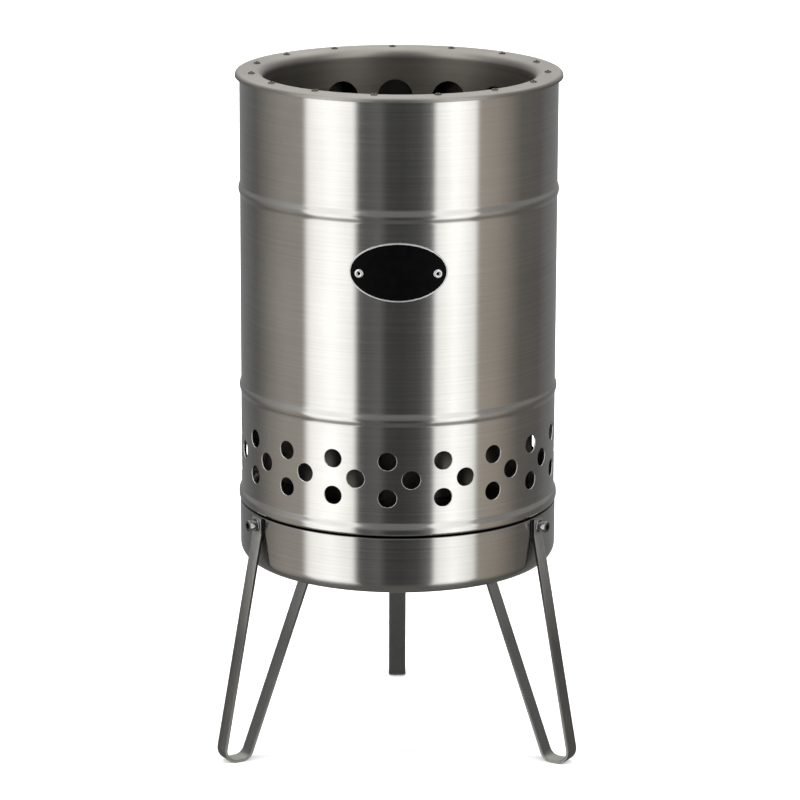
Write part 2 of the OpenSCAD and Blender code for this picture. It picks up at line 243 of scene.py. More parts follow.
def finish_piece(obj, name, body, slot, material, *nodes):
    """Names a finished piece, dresses it and puts it on its body in place of its CAD nodes."""
    settle(obj)
    bpy.ops.object.shade_smooth_by_angle(angle=math.radians(35))
    firm_normals(obj)
    obj.name = obj.data.name = name
    obj.data.materials.clear()
    obj.data.materials.append(material)
    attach(obj, body)
    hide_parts(*nodes)
    return obj


# Materials


def new_material(name, **sockets):
    """A Principled material whose constant sockets are set by name."""
    material = bpy.data.materials.new(name)
    material.use_nodes = True
    shader = material.node_tree.nodes["Principled BSDF"]
    for socket, value in sockets.items():
        shader.inputs[socket.replace("_", " ").title().replace("Ior", "IOR")].default_value = value
    return material


def add_noise(material, scale, detail=3, roughness=0.5, distortion=0):
    """Noise on Object coordinates, stretched by a scale for each axis; returns its output."""
    tree = material.node_tree
    place = tree.nodes.new("ShaderNodeTexCoord")
    stretch = tree.nodes.new("ShaderNodeMapping")
    stretch.inputs["Scale"].default_value = scale
    noise = tree.nodes.new("ShaderNodeTexNoise")
    noise.inputs["Scale"].default_value = 1
    noise.inputs["Detail"].default_value = detail
    noise.inputs["Roughness"].default_value = roughness
    noise.inputs["Distortion"].default_value = distortion
    tree.links.new(place.outputs["Object"], stretch.inputs["Vector"])
    tree.links.new(stretch.outputs["Vector"], noise.inputs["Vector"])
    return noise.outputs["Fac"]


def spread(material, source, low, high, start=0.3, end=0.7):
    """Maps a 0 to 1 source onto a range of values."""
    node = material.node_tree.nodes.new("ShaderNodeMapRange")
    for name, value in (("From Min", start), ("From Max", end), ("To Min", low), ("To Max", high)):
        node.inputs[name].default_value = value
    material.node_tree.links.new(source, node.inputs["Value"])
    return node.outputs["Result"]


def blend_colours(material, source, dark, light):
    node = material.node_tree.nodes.new("ShaderNodeMix")
    node.data_type = "RGBA"
    node.inputs["A"].default_value = (*dark, 1)
    node.inputs["B"].default_value = (*light, 1)
    material.node_tree.links.new(source, node.inputs["Factor"])
    return node.outputs["Result"]


def feed(material, source, socket):
    shader = material.node_tree.nodes["Principled BSDF"]
    material.node_tree.links.new(source, shader.inputs[socket])


def add_bump(material, source, strength, distance):
    node = material.node_tree.nodes.new("ShaderNodeBump")
    node.inputs["Strength"].default_value = strength
    node.inputs["Distance"].default_value = distance
    material.node_tree.links.new(source, node.inputs["Height"])
    feed(material, node.outputs["Normal"], "Normal")


def brushed_steel(name, dark, light, rough, stretch, grain, bump=0.05):
    """Steel with fine brushing, whose grain is coarse along the strokes and fine across them."""
    material = new_material(name, metallic=1, anisotropic=stretch, anisotropic_rotation=0.25)
    strokes = add_noise(material, grain, detail=4, roughness=0.65)
    clouds = add_noise(material, (14, 14, 9), detail=3)
    mixed = material.node_tree.nodes.new("ShaderNodeMath")
    mixed.operation = "MULTIPLY_ADD"
    mixed.inputs[1].default_value = 0.7
    link = material.node_tree.links.new
    link(strokes, mixed.inputs[0])
    link(spread(material, clouds, 0, 0.3), mixed.inputs[2])
    shade = spread(material, mixed.outputs[0], 0, 1)
    feed(material, blend_colours(material, shade, dark, light), "Base Color")
    feed(material, spread(material, strokes, rough[0], rough[1]), "Roughness")
    add_bump(material, strokes, bump, 0.0002)
    return material


def height_over(material, height):
    """The height of a point over a level, from Object coordinates."""
    tree = material.node_tree
    place = tree.nodes.new("ShaderNodeTexCoord")
    split = tree.nodes.new("ShaderNodeSeparateXYZ")
    above = tree.nodes.new("ShaderNodeMath")
    above.operation = "SUBTRACT"
    above.inputs[1].default_value = height * MM
    tree.links.new(place.outputs["Object"], split.inputs["Vector"])
    tree.links.new(split.outputs["Z"], above.inputs[0])
    return above.outputs[0]


def tint_where(material, source, colour):
    """Multiplies the base colour by another, the more the closer the source is to 0."""
    tree = material.node_tree
    shade = blend_colours(material, source, colour, (1, 1, 1))
    mix = tree.nodes.new("ShaderNodeMix")
    mix.data_type = "RGBA"
    mix.blend_type = "MULTIPLY"
    mix.inputs["Factor"].default_value = 1
    tree.links.new(tree.nodes["Principled BSDF"].inputs["Base Color"].links[0].from_socket, mix.inputs["A"])
    tree.links.new(shade, mix.inputs["B"])
    feed(material, mix.outputs["Result"], "Base Color")


def paint_seam_shade(material, height, reach):
    """Paints shade into the outermost steel within reach of a height: a black line where the seam's groove
    lies in shade.
    """
    away = material.node_tree.nodes.new("ShaderNodeMath")
    away.operation = "ABSOLUTE"
    material.node_tree.links.new(height_over(material, height), away.inputs[0])
    band = spread(material, away.outputs[0], 0, 1, 0.75 * reach * MM, 1.25 * reach * MM)
    inner = spread(material, distance_out(material), 1, 0, (CASING_R - 3) * MM, (CASING_R - 2) * MM)
    tint_where(material, pair(material, "MAXIMUM", band, inner), (0.01, 0.01, 0.01))


def paint_shade_below(material, start, end, colour):
    """Paints shade into the steel, darker softly from one height down to another."""
    tint_where(material, spread(material, height_over(material, end), 0, 1, 0, (start - end) * MM), colour)


def pair(material, operation, first, second):
    """Puts two sources through one step of arithmetic."""
    node = material.node_tree.nodes.new("ShaderNodeMath")
    node.operation = operation
    for source, socket in zip((first, second), node.inputs):
        material.node_tree.links.new(source, socket)
    return node.outputs[0]


def distance_aside(material, turn):
    """How far a point lies to the side of the upright plane through the axis at a turn."""
    tree = material.node_tree
    place = tree.nodes.new("ShaderNodeTexCoord")
    aside = tree.nodes.new("ShaderNodeVectorMath")
    aside.operation = "DOT_PRODUCT"
    aside.inputs[1].default_value = (math.cos(math.radians(turn)), math.sin(math.radians(turn)), 0)
    tree.links.new(place.outputs["Object"], aside.inputs[0])
    size = tree.nodes.new("ShaderNodeMath")
    size.operation = "ABSOLUTE"
    tree.links.new(aside.outputs["Value"], size.inputs[0])
    return size.outputs[0]


def distance_out(material):
    """The distance of a point from the barrel's axis, from Object coordinates."""
    tree = material.node_tree
    place = tree.nodes.new("ShaderNodeTexCoord")
    flat = tree.nodes.new("ShaderNodeVectorMath")
    flat.operation = "MULTIPLY"
    flat.inputs[1].default_value = (1, 1, 0)
    length = tree.nodes.new("ShaderNodeVectorMath")
    length.operation = "LENGTH"
    tree.links.new(place.outputs["Object"], flat.inputs[0])
    tree.links.new(flat.outputs["Vector"], length.inputs[0])
    return length.outputs["Value"]


# Fine across the strokes that run round the barrel, and the same every way in small pieces
AROUND_GRAIN, SMALL_GRAIN = (5, 5, 700), (300, 300, 300)
# The colour of the painted shade inside the casing
PAINTED_INSIDE_SHADE = (0.12, 0.12, 0.12)

casing_steel = brushed_steel("brushed_casing_steel", (0.57, 0.56, 0.53), (0.67, 0.66, 0.63),
                             (0.16, 0.2), 1, AROUND_GRAIN, 0.03)
pan_steel = brushed_steel("brushed_pan_steel", (0.53, 0.52, 0.49), (0.63, 0.62, 0.59),
                          (0.16, 0.21), 1, AROUND_GRAIN, 0.03)
# Painted shade: a black line along the seam where the casing's foot sits on the pan
for steel in (casing_steel, pan_steel):
    paint_seam_shade(steel, PAN_TOP - 0.5, 1.3)

# Painted light: the cut edges of the casing's holes get a painted highlight, and its inside gets painted
# shade
casing_out = distance_out(casing_steel)
past_edges = spread(casing_steel, casing_out, 0, 1, (CASING_R - 0.2) * MM, (CASING_R - 0.06) * MM)
tint_where(casing_steel, past_edges, (1.5, 1.5, 1.5))
past_inside = spread(casing_steel, casing_out, 0, 1, (CASING_R - 1.1) * MM, (CASING_R - 0.9) * MM)
tint_where(casing_steel, past_inside, PAINTED_INSIDE_SHADE)

# Painted shade: the drum is painted darker under its lip, and darker still on its outside, in the jacket
drum_steel = brushed_steel("satin_drum_steel", (0.36, 0.345, 0.32), (0.46, 0.445, 0.42),
                           (0.4, 0.48), 0.55, AROUND_GRAIN)
paint_shade_below(drum_steel, RIM_Z - 4, RIM_Z - 11, (0.72, 0.7, 0.66))
over_jacket = spread(drum_steel, height_over(drum_steel, RIM_Z - 20), 0, 1, 0, 8 * MM)
in_drum = spread(drum_steel, distance_out(drum_steel), 1, 0, (DRUM_R - 0.8) * MM, (DRUM_R - 0.4) * MM)
tint_where(drum_steel, pair(drum_steel, "MAXIMUM", over_jacket, in_drum), (0.4, 0.4, 0.4))

# Painted shade: the legs are painted darker towards the ground, and their bars' sawn sides are painted darker
# towards the top
leg_steel = brushed_steel("satin_leg_steel", (0.66, 0.66, 0.64), (0.82, 0.82, 0.8),
                          (0.34, 0.44), 0, (500, 500, 12))
paint_shade_below(leg_steel, 195, 110, (0.44, 0.44, 0.43))
asides = [distance_aside(leg_steel, turn) for turn in LEG_TURNS]
nearest = pair(leg_steel, "MINIMUM", pair(leg_steel, "MINIMUM", asides[0], asides[1]), asides[2])
off_side = spread(leg_steel, nearest, 1, 0, (LEG_W / 2 - 0.35) * MM, (LEG_W / 2 - 0.1) * MM)
near_ground = spread(leg_steel, height_over(leg_steel, 0), 0.8, 0, 0, 170 * MM)
tint_where(leg_steel, pair(leg_steel, "MAXIMUM", off_side, near_ground), (0.05, 0.05, 0.05))

grate_steel = brushed_steel("dull_grate_steel", (0.26, 0.25, 0.24), (0.36, 0.35, 0.33),
                            (0.42, 0.52), 0, (90, 90, 90))
screw_steel = brushed_steel("bright_screw_steel", (0.26, 0.26, 0.26), (0.38, 0.38, 0.38),
                            (0.08, 0.12), 0, SMALL_GRAIN)
rivet_steel = brushed_steel("dark_rivet_steel", (0.07, 0.067, 0.06), (0.13, 0.125, 0.115),
                            (0.25, 0.35), 0, SMALL_GRAIN)
pin_steel = brushed_steel("black_pin_steel", (0.02, 0.02, 0.02), (0.05, 0.05, 0.05),
                          (0.4, 0.5), 0, SMALL_GRAIN)
eyelet_steel = brushed_steel("bright_eyelet_steel", (0.86, 0.86, 0.85), (0.96, 0.96, 0.95),
                             (0.3, 0.38), 0, SMALL_GRAIN)
plate_edge_steel = brushed_steel("bare_plate_edge", (0.84, 0.84, 0.83), (0.94, 0.94, 0.93),
                                 (0.5, 0.6), 0, (200, 200, 200))

ENAMEL_DARK, ENAMEL_LIGHT = (0.0005, 0.0005, 0.0005), (0.0015, 0.0015, 0.0015)
plate_black = new_material("black_enamel", metallic=0, specular_ior_level=0.05)
plate_dust = add_noise(plate_black, (120, 120, 120), detail=5)
feed(plate_black, blend_colours(plate_black, plate_dust, ENAMEL_DARK, ENAMEL_LIGHT), "Base Color")
feed(plate_black, spread(plate_black, plate_dust, 0.35, 0.5), "Roughness")
add_bump(plate_black, plate_dust, 0.02, 0.0001)

# The sheets of the barrel

casing_mid = CASING_R - SHEET / 2
drum_mid = DRUM_R - SHEET / 2
lip_mid = LIP_R + SHEET / 2
flat_r = drum_mid + lip_mid

BEND = 2.4
BULGE_OUT, BULGE_BAND, BULGE_H = 2.3, 2.6, 12.5
BEAD_OUT, BEAD_H = 1.5, 13.5
BEAD_HEIGHTS = (PAN_TOP + 104.5, PAN_TOP + 285)


def bead(height, steps=24):
    """The smooth swell of one rolled bead."""
    return [(casing_mid + BEAD_OUT * (1 - math.cos(math.tau * i / steps)) / 2,
             height - BEAD_H / 2 + BEAD_H * i / steps) for i in range(steps + 1)]


def bulge_step(steps=16):
    """The S-shaped step from the foot's bulge back to the wall."""
    low = PAN_TOP + SHEET / 2 + BEND + BULGE_BAND
    rise = PAN_TOP + BULGE_H - low
    return [(casing_mid + BULGE_OUT * (1 + math.cos(math.pi * i / steps)) / 2, low + rise * i / steps)
            for i in range(steps + 1)]


def rivet_bores(under):
    """The cutter of the rearmost rivet's hole through one flange, up from its underside."""
    return upright_knob(soft_bore(RIVET_HOLE_R, under, under + SHEET, 0.1), 0, rivet_out)


casing_top = RIM_Z - 1.5 * SHEET
casing = turned_sheet(
    [(DRUM_R + 0.6, PAN_TOP + SHEET / 2)]
    + arc((casing_mid + BULGE_OUT - BEND, PAN_TOP + SHEET / 2 + BEND), BEND, -90, 0, 8)
    + bulge_step()
    + [point for height in BEAD_HEIGHTS for point in bead(height)]
    + arc((casing_mid - BEND, casing_top - BEND), BEND, 0, 90, 8)
    + [(flat_r, casing_top)]
)

VENT_R, VENT_COUNT, VENT_EDGE = 8.15, 18, 0.55
VENT_ROWS = ((262, -3.7), (278.7, 4.8), (295.4, -3.7))
for row_z, row_turn in VENT_ROWS:
    cut(casing, around(hole_cutter(VENT_R, CASING_R, row_z, VENT_EDGE), evenly(VENT_COUNT, row_turn)))
PLATE_Z = PAN_TOP + 237
EYELET_TURN, EYELET_Z, EYELET_HOLE_R = 13.8, PLATE_Z - 1.5, 2.35
cut(casing, around(hole_cutter(EYELET_HOLE_R, CASING_R, EYELET_Z, 0.15), (-EYELET_TURN, EYELET_TURN)))
RIVET_TURNS, RIVET_HOLE_R, rivet_out = evenly(15, 2.7), 1.75, flat_r + 3
cut(casing, around(rivet_bores(RIM_Z - 2 * SHEET), RIVET_TURNS))
finish_piece(casing, "casing", "barrel", "casing_steel", casing_steel, "outer_casing")

hem_mid = FLANGE_R - SHEET / 2
drum_top = RIM_Z - SHEET / 2
drum = turned_sheet(
    rounded([(hem_mid, RIM_Z - HEM_DROP), (hem_mid, drum_top), (flat_r, drum_top)], [2.6], 10)[:-1]
    + arc((flat_r, drum_top - lip_mid), lip_mid, 90, 180, 24)
    + [(drum_mid, DRUM_Z)]
)
AIR_R, AIR_Z, AIR_TURNS = 16.5, RIM_Z - 45.5, evenly(15, 181.7)
cut(drum, around(hole_cutter(AIR_R, DRUM_R, AIR_Z, 0.5), AIR_TURNS))
cut(drum, around(rivet_bores(RIM_Z - SHEET), RIVET_TURNS))
finish_piece(drum, "drum", "barrel", "drum_steel", drum_steel, "inner_drum")

SEAT_H, SEAT_LEDGE_R = 14, DRUM_R - SHEET - 9
seat_mid, seat_ledge_z = DRUM_R - 1.5 * SHEET - SEAT_GAP, DRUM_Z + SHEET / 2
grate_seat = turned_sheet(
    rounded([(seat_mid, DRUM_Z + SEAT_H), (seat_mid, seat_ledge_z), (SEAT_LEDGE_R, seat_ledge_z)], [1], 5))
finish_piece(grate_seat, "grate_seat", "barrel", "drum_steel", drum_steel, "grate_support_ring")

RING_LEDGE_R, RING_HOLE_R, RING_HOLE_Z = DRUM_R + 15, 5.5, PAN_TOP + 12
ring_foot = PAN_TOP - 1.5 * SHEET
locating_ring = turned_sheet(
    rounded([(RING_LEDGE_R, ring_foot), (drum_mid, ring_foot), (drum_mid, RING_TOP)], [1.2], 5))
cut(locating_ring, around(hole_cutter(RING_HOLE_R, DRUM_R, RING_HOLE_Z, 0.3), evenly(24)))
finish_piece(locating_ring, "locating_ring_steel", "stand", "drum_steel", drum_steel, "locating_ring")

SCREW_R, SCREW_Z, SCREW_HOLE_R = 3, 218.1, 3.3
BASE_SCREW_IN = 77.7
PAN_MOUTH_R, PAN_CORNER_R = DRUM_R + 4.2, 12
pan_mid, pan_rim_z, pan_base_z = PAN_R - SHEET / 2, PAN_TOP - SHEET / 2, PAN_Z + SHEET / 2
ash_pan = turned_sheet(rounded(
    [(PAN_MOUTH_R, pan_rim_z), (pan_mid, pan_rim_z), (pan_mid, pan_base_z), (0, pan_base_z)],
    [BEND, PAN_CORNER_R - SHEET / 2], 12))
side_holes = hole_cutter(SCREW_HOLE_R, PAN_R, SCREW_Z, 0.15, steps=SMALL_STEPS)
cut(ash_pan, around(side_holes, LEG_TURNS))
base_holes = upright_knob(soft_bore(SCREW_HOLE_R, PAN_Z, PAN_Z + SHEET, 0.15), 0, -BASE_SCREW_IN)
cut(ash_pan, around(base_holes, LEG_TURNS))
finish_piece(ash_pan, "ash_pan_steel", "stand", "pan_steel", pan_steel, "ash_pan")

# Legs: a bar's cross-section, extruded along its straight runs and spun round its bends

leg_r = PAN_R + SEAT_GAP + LEG_T / 2
leg_top = PAN_TOP - 2.2
foot_r, inner_foot_r = PAN_R + 41, PAN_R + 15
base_bend_r, base_z = PAN_R - 50.5, PAN_Z - LEG_T / 2
LEG_CORNERS = [(leg_r, leg_top), (leg_r, leg_top - 15), (foot_r, LEG_T / 2), (inner_foot_r, LEG_T / 2),
               (base_bend_r, base_z), (base_bend_r - 26, base_z)]
LEG_BENDS = [7, 11, 11, 7]


def bar_section():
    """The cross-section of a leg at its upper end, with rounded long edges."""
    deselect()
    start = Vector((0, -leg_r, leg_top)) * MM
    bpy.ops.mesh.primitive_plane_add(size=MM, location=start, enter_editmode=True)
    bpy.ops.transform.resize(value=(LEG_W, LEG_T, 1))
    bpy.ops.mesh.bevel(offset=LEG_EDGE * MM, segments=3, affect="VERTICES")
    return bpy.context.object


def push(step):
    """Extrudes the bar's open end by a step of (outward, up)."""
    value = Vector((0, -step[0], step[1])) * MM
    bpy.ops.mesh.extrude_region_move(TRANSFORM_OT_translate={"value": value})


def make_leg():
    leg = bar_section()
    here = Vector(LEG_CORNERS[0])
    for before, corner, after, radius in zip(LEG_CORNERS, LEG_CORNERS[1:], LEG_CORNERS[2:], LEG_BENDS):
        before, corner, after = Vector(before), Vector(corner), Vector(after)
        u, v = (before - corner).normalized(), (after - corner).normalized()
        half = u.angle(v) / 2
        reach = radius / math.tan(half)
        centre = corner + (u + v).normalized() * (radius / math.sin(half))
        push(corner + u * reach - here)
        side = 1 if (corner - before).to_3d().cross((after - corner).to_3d()).z > 0 else -1
        bpy.ops.mesh.spin(steps=12, angle=side * (math.pi - 2 * half), axis=(1, 0, 0),
                          center=Vector((0, -centre.x, centre.y)) * MM)
        here = corner + v * reach
    push(Vector(LEG_CORNERS[-1]) - here)
    bpy.ops.mesh.select_all(action="SELECT")
    bpy.ops.mesh.remove_doubles(threshold=0.002 * MM)
    bpy.ops.mesh.normals_make_consistent(inside=False)
    return settle(leg)


leg = make_leg()
cut(leg, turned_knob(soft_bore(SCREW_HOLE_R, leg_r - LEG_T / 2, leg_r + LEG_T / 2, 0.2), SCREW_Z))
cut(leg, upright_knob(soft_bore(SCREW_HOLE_R, PAN_Z - LEG_T, PAN_Z, 0.2), 0, -BASE_SCREW_IN))
for leg_name, leg_turn in zip(("leg_front_left", "leg_front_right", "leg_rear"), LEG_TURNS):
    bar = leg.copy()
    bar.data = leg.data.copy()
    bar.data.transform(Matrix.Rotation(math.radians(leg_turn), 4, "Z"))
    bpy.context.scene.collection.objects.link(bar)
    finish_piece(bar, leg_name + "_bar", "stand", "leg_steel", leg_steel, leg_name)
bpy.data.objects.remove(leg)

# Small pieces

HEAD_R, HEAD_H, SOCKET_W, SOCKET_DEPTH = 5, 6, 5, 3
WASHER_R, WASHER_T, LOCK_R, LOCK_T = 6, 1.3, 4.5, 1.6
NUT_W, NUT_H = 10, 5
washer_out = PAN_R + SEAT_GAP + LEG_T
lock_out = washer_out + WASHER_T
head_out = lock_out + LOCK_T
nut_corner = NUT_W / math.sqrt(3)
nut_face = math.sqrt((PAN_R - SHEET) ** 2 - nut_corner ** 2) - SEAT_GAP


def washer(radius, thick, inner, edge):
    """A flat ring in front of the pan's wall, its outer edges rounded."""
    return [(SCREW_R + 0.3, inner), (radius - edge, inner), (radius, inner + edge),
            (radius, inner + thick - edge), (radius - edge, inner + thick), (SCREW_R + 0.3, inner + thick),
            (SCREW_R + 0.3, inner)]


def hexagon(width, near, far, height):
    """A six-sided bar on an axis that points to -Y, with corners at its left and right."""
    deselect()
    bpy.ops.mesh.primitive_cylinder_add(
        vertices=6, radius=width / math.sqrt(3) * MM, depth=(far - near) * MM,
        location=Vector((0, -(near + far) / 2, height)) * MM, rotation=(math.pi / 2, math.pi / 6, 0))
    return settle(bpy.context.object)


def nut(near, height):
    """A six-sided nut with turned corners and a flared thread hole, on an axis that points to -Y."""
    obj = hexagon(NUT_W, near, near + NUT_H, height)
    corner, chamfer = NUT_W / math.sqrt(3), 0.5
    cut(obj, turned_knob([(0, near), (NUT_W / 2, near), (corner, near + chamfer),
                          (corner, near + NUT_H - chamfer), (NUT_W / 2, near + NUT_H), (0, near + NUT_H)],
                         height), "INTERSECT")
    cut(obj, turned_knob(soft_bore(SCREW_R + 0.05, near, near + NUT_H, 0.3), height))
    return obj


def finish_fastener(obj, name, node):
    """Copies a fastener to every leg and finishes the set."""
    return finish_piece(around(obj, LEG_TURNS), name, "stand", "screw_steel", screw_steel, node)


side_screw = turned_knob([
    (0, nut_face - NUT_H - 1.5), (SCREW_R - 0.5, nut_face - NUT_H - 1.5), (SCREW_R, nut_face - NUT_H - 1),
    (SCREW_R, head_out), (HEAD_R - 0.3, head_out), (HEAD_R, head_out + 0.3),
    (HEAD_R, head_out + HEAD_H - 0.7), (HEAD_R - 0.2, head_out + HEAD_H - 0.2),
    (HEAD_R - 0.7, head_out + HEAD_H), (0, head_out + HEAD_H)], SCREW_Z)
cut(side_screw, hexagon(SOCKET_W, head_out + HEAD_H - SOCKET_DEPTH, head_out + HEAD_H + 1, SCREW_Z))
finish_fastener(side_screw, "side_cap_screws", "leg_side_screws")
lock_washer = turned_knob(washer(LOCK_R, LOCK_T, lock_out, 0.25), SCREW_Z)
finish_fastener(lock_washer, "side_spring_washers", "leg_side_lock_washers")
side_washer = turned_knob(washer(WASHER_R, WASHER_T, washer_out, 0.3), SCREW_Z)
finish_fastener(side_washer, "side_flat_washers", "leg_side_washers")
finish_fastener(nut(nut_face - NUT_H, SCREW_Z), "side_hex_nuts", "leg_side_nuts")

DOME_H = 3.2
dome_r = (HEAD_R ** 2 + DOME_H ** 2) / (2 * DOME_H)
dome_start = math.degrees(math.asin(1 - DOME_H / dome_r))
pan_floor = PAN_Z + SHEET
washer_z = PAN_Z - LEG_T - WASHER_T
screw_tip = washer_z - NUT_H - 1.5
base_screw = upright_knob(
    [(0, screw_tip), (SCREW_R - 0.5, screw_tip), (SCREW_R, screw_tip + 0.5), (SCREW_R, pan_floor)]
    + arc((0, pan_floor + DOME_H - dome_r), dome_r, dome_start, 90, 10), 0, -BASE_SCREW_IN)
finish_fastener(base_screw, "base_domed_screws", "leg_base_screws")
base_washer = upright_knob(washer(WASHER_R, WASHER_T, washer_z, 0.3), 0, -BASE_SCREW_IN)
finish_fastener(base_washer, "base_flat_washers", "leg_base_washers")
base_nut = nut(-NUT_H, 0)
base_nut.rotation_euler.x = -math.pi / 2
base_nut.location = Vector((0, -BASE_SCREW_IN, washer_z)) * MM
finish_fastener(settle(base_nut), "base_hex_nuts", "leg_base_nuts")

RIVET_R, RIVET_HEAD_R, RIVET_HEAD_H, GRIP = 1.6, 3.2, 1.3, 2 * SHEET


def on_rim(line):
    """A small solid turned from (radius, height over the rim) on the rearmost rivet's axis."""
    return upright_knob([(r, RIM_Z + up) for r, up in line], 0, rivet_out)


rivet_bore = RIVET_R / 2
rivet = on_rim([
    (rivet_bore, -GRIP - 2.24), (2.56, -GRIP - 2.24), (2.56, -GRIP), (RIVET_R, -GRIP), (RIVET_R, 0),
    (RIVET_HEAD_R - 0.1, 0), (RIVET_HEAD_R, 0.15), (RIVET_HEAD_R - 0.08, 0.35), (2.7, 0.82), (2.1, 1.15),
    (1.5, RIVET_HEAD_H), (rivet_bore + 0.2, RIVET_HEAD_H), (rivet_bore, RIVET_HEAD_H - 0.2),
    (rivet_bore, -GRIP - 2.24)])
rivets = around(rivet, RIVET_TURNS)
finish_piece(rivets, "rim_blind_rivets", "barrel", "rivet_steel", rivet_steel, "rim_rivets")
pin_r = rivet_bore - SEAT_GAP
pin = on_rim([(0, -GRIP - 2.24), (pin_r, -GRIP - 2.24), (pin_r, RIVET_HEAD_H + 0.3),
              (pin_r - 0.15, RIVET_HEAD_H + 0.5), (0, RIVET_HEAD_H + 0.42)])
pins = around(pin, RIVET_TURNS)
finish_piece(pins, "rim_broken_pins", "barrel", "rivet_pin", pin_steel, "rim_rivet_pins")

# Name plate: a bare metal oval with a black face a little smaller, held by two rolled eyelets

PLATE_W, PLATE_H, PLATE_T, PLATE_BORDER = 85.5, 52, 1, 1.2


def oval_slab(shrink, near, far, edge):
    """An oval slab rolled onto the casing, smaller all round by shrink, with rounded edges."""
    deselect()
    bpy.ops.mesh.primitive_grid_add(x_subdivisions=64, y_subdivisions=1, size=MM, enter_editmode=True)
    bpy.ops.transform.resize(value=(PLATE_W + 10, PLATE_H + 10, 1))
    bpy.ops.transform.rotate(value=math.pi / 2, orient_axis="X", center_override=(0, 0, 0))
    bpy.ops.transform.translate(value=Vector((0, -far, PLATE_Z)) * MM)
    bpy.ops.mesh.extrude_region_move(TRANSFORM_OT_translate={"value": Vector((0, far - near, 0)) * MM})
    bpy.ops.mesh.select_all(action="SELECT")
    bpy.ops.mesh.normals_make_consistent(inside=False)
    slab = roll(settle(bpy.context.object), CASING_R)
    bpy.ops.mesh.primitive_cylinder_add(
        vertices=144, radius=MM, depth=40 * MM, location=Vector((0, -CASING_R, PLATE_Z)) * MM,
        rotation=(math.pi / 2, 0, 0))
    oval = bpy.context.object
    oval.scale = (PLATE_W / 2 - shrink, PLATE_H / 2 - shrink, 1)
    cut(slab, settle(oval), "INTERSECT")
    apply_modifier(slab, "BEVEL", width=edge * MM, segments=3, limit_method="ANGLE",
                   angle_limit=math.radians(60))
    cut(slab, around(hole_cutter(EYELET_HOLE_R, far, EYELET_Z, 0.1, far - near), (-EYELET_TURN, EYELET_TURN)))
    return slab


plate_in = CASING_R + SEAT_GAP
plate_base = oval_slab(0, plate_in, plate_in + PLATE_T - 0.1, 0.3)
finish_piece(plate_base, "name_plate_base", "barrel", "plate_black", plate_edge_steel, "name_plate")
plate_face = oval_slab(PLATE_BORDER, plate_in + 0.3, plate_in + PLATE_T, 0.08)
finish_piece(plate_face, "name_plate_face", "barrel", "plate_black", plate_black, "name_plate")

EYELET_HEAD_R, EYELET_R, EYELET_BORE_R, ROLLED = 4, 2.2, 1.3, 0.88
eyelet_front = plate_in + PLATE_T + SEAT_GAP
eyelet_set_r = EYELET_R * 1.5
eyelet_back = math.sqrt((CASING_R - SHEET) ** 2 - eyelet_set_r ** 2) - SEAT_GAP
head_mid = (EYELET_HEAD_R + EYELET_BORE_R) / 2
head_half = EYELET_HEAD_R - head_mid
half_turn = [math.pi * i / 12 for i in range(13)]
eyelet = turned_knob(
    [(EYELET_BORE_R, eyelet_back - ROLLED), (eyelet_set_r - 0.3, eyelet_back - ROLLED),
     (eyelet_set_r, eyelet_back - ROLLED + 0.3), (eyelet_set_r, eyelet_back), (EYELET_R, eyelet_back),
     (EYELET_R, eyelet_front)]
    + [(head_mid + head_half * math.cos(t), eyelet_front + ROLLED * math.sin(t)) for t in half_turn]
    + [(EYELET_BORE_R, eyelet_back - ROLLED)], EYELET_Z)
eyelets = around(eyelet, (-EYELET_TURN, EYELET_TURN))
finish_piece(eyelets, "rolled_eyelets", "barrel", "rivet_steel", eyelet_steel, "name_plate_eyelets")

# Fire grate: a flat disc with rings of round holes

GRATE_T, GRATE_PITCH, GRATE_RINGS, GRATE_HOLE_R = 2, 19, 5, 5.5
grate_r = DRUM_R - 2 * SHEET - SEAT_GAP - 1.5
grate_z = DRUM_Z + SHEET + SEAT_GAP
grate = turned([(0, grate_z), (grate_r, grate_z), (grate_r, grate_z + GRATE_T), (0, grate_z + GRATE_T)])
apply_modifier(grate, "BEVEL", width=0.3 * MM, segments=3, limit_method="ANGLE", angle_limit=math.radians(60))
for ring in range(GRATE_RINGS + 1):
    bore = upright_knob(soft_bore(GRATE_HOLE_R, grate_z, grate_z + GRATE_T, 0.3), ring * GRATE_PITCH, 0)
    cut(grate, around(bore, evenly(max(6 * ring, 1))))
finish_piece(grate, "perforated_grate", "grate", "grate_steel", grate_steel, "fire_grate")

# Studio

CAMERA_PITCH, CAMERA_ROLL = math.radians(14.303), math.radians(0.19)
CAMERA_DISTANCE, CAMERA_TARGET_Z = 3.5582, 0.3105
camera_data = bpy.data.cameras.new("camera")
camera = bpy.data.objects.new("camera", camera_data)
bpy.context.scene.collection.objects.link(camera)
camera.rotation_euler = (Matrix.Rotation(math.pi / 2 - CAMERA_PITCH, 3, "X")
                         @ Matrix.Rotation(CAMERA_ROLL, 3, "Z")).to_euler()
camera.location = (0, -CAMERA_DISTANCE * math.cos(CAMERA_PITCH),
                   CAMERA_TARGET_Z + CAMERA_DISTANCE * math.sin(CAMERA_PITCH))
camera_data.sensor_width = 36
camera_data.lens = 176.53
camera_data.shift_x, camera_data.shift_y = 0.0025, 0.0064
camera_data.clip_start, camera_data.clip_end = 0.1, 100
bpy.context.scene.camera = camera
bpy.context.scene.view_settings.view_transform = "Standard"

